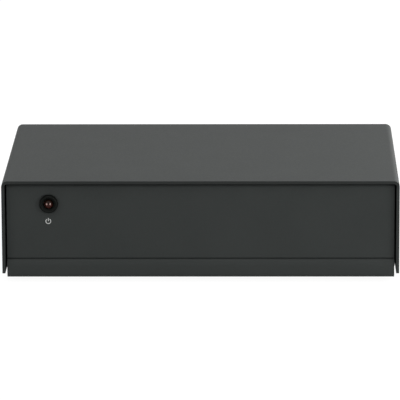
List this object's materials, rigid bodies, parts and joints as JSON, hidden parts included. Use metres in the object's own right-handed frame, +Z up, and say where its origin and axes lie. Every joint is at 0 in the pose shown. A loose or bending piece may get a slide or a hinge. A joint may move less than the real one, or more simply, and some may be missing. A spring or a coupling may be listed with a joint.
{
  "type": "phono preamp",
  "caption": "Small charcoal steel box with a red lamp on its recessed front panel, and phono jacks, a power jack and a ground post at the rear.",
  "frame": {"origin": "on the surface the feet stand on, at the middle of the overall outline", "axes": "+X to the right seen from the front, +Y to the rear, where the jacks are, +Z up"},
  "size_m": [0.1334, 0.0992, 0.0353],
  "materials": {
    "case_paint": "charcoal powder coat on sheet steel, satin, very fine texture",
    "black_screw": "black zinc, satin",
    "foot_rubber": "matte",
    "holder_black": "satin moulded",
    "lamp_red": "clear red moulded lens, unlit",
    "tinned_lead": "tinned",
    "board_green": "green solder mask",
    "zinc_steel": "bright zinc",
    "jack_black": "moulded",
    "nickel": "nickel plate",
    "terminal_metal": "nickel-plated brass",
    "insulator_white": "moulded",
    "insulator_red": "moulded",
    "chip_black": "moulded epoxy",
    "film_yellow": "boxed film capacitor",
    "can_sleeve": "shrink sleeve with a bare aluminium top",
    "resistor_lacquer": "blue lacquer with plain colour rings"
  },
  "bodies": {
    "case": {"top_cover": "case_paint", "chassis": "case_paint", "front_panel": "case_paint", "cover_screws": "black_screw", "rubber_feet": "foot_rubber", "lamp_holder": "holder_black", "lamp_lock_ring": "holder_black", "indicator_lamp": "lamp_red", "lamp_leads": "tinned_lead", "circuit_board": "board_green", "board_standoffs": "zinc_steel", "board_screws": "zinc_steel", "input_jack_housing": "jack_black", "output_jack_housing": "jack_black", "jack_screws": "black_screw", "power_jack_body": "jack_black", "power_jack_pin": "nickel", "power_jack_spring": "nickel", "ground_stud": "terminal_metal", "ground_lug": "tinned_lead", "ground_nut": "terminal_metal", "op_amp": "chip_black", "op_amp_leads": "tinned_lead", "film_capacitors": "film_yellow", "electrolytic_capacitors": "can_sleeve", "resistors": "resistor_lacquer", "resistor_leads": "tinned_lead", "supply_diode": "chip_black", "diode_leads": "tinned_lead", "voltage_regulator": "chip_black", "regulator_leads": "tinned_lead", "input_left_shell": "nickel", "input_left_insulator": "insulator_white", "input_left_contact": "nickel", "input_right_shell": "nickel", "input_right_insulator": "insulator_red", "input_right_contact": "nickel", "output_left_shell": "nickel", "output_left_insulator": "insulator_white", "output_left_contact": "nickel", "output_right_shell": "nickel", "output_right_insulator": "insulator_red", "output_right_contact": "nickel"},
    "terminal_washer": {"ground_washer": "terminal_metal"},
    "terminal_nut": {"ground_thumb_nut": "terminal_metal"}
  },
  "joints": [
    {"name": "ground_nut_travel", "type": "slide", "parent": "case", "child": "terminal_washer", "axis": [0, 1, 0], "range_m": [0, 0.003]},
    {"name": "ground_nut_turn", "type": "hinge", "parent": "terminal_washer", "child": "terminal_nut", "pos_m": [-0.0092, 0.04455, 0.0164], "axis": [0, 1, 0], "range_deg": [0, 1543]}
  ],
  "couplings": [
    {"joint": "ground_nut_turn", "follows": "ground_nut_travel", "rad_per_m": 8976}
  ]
}
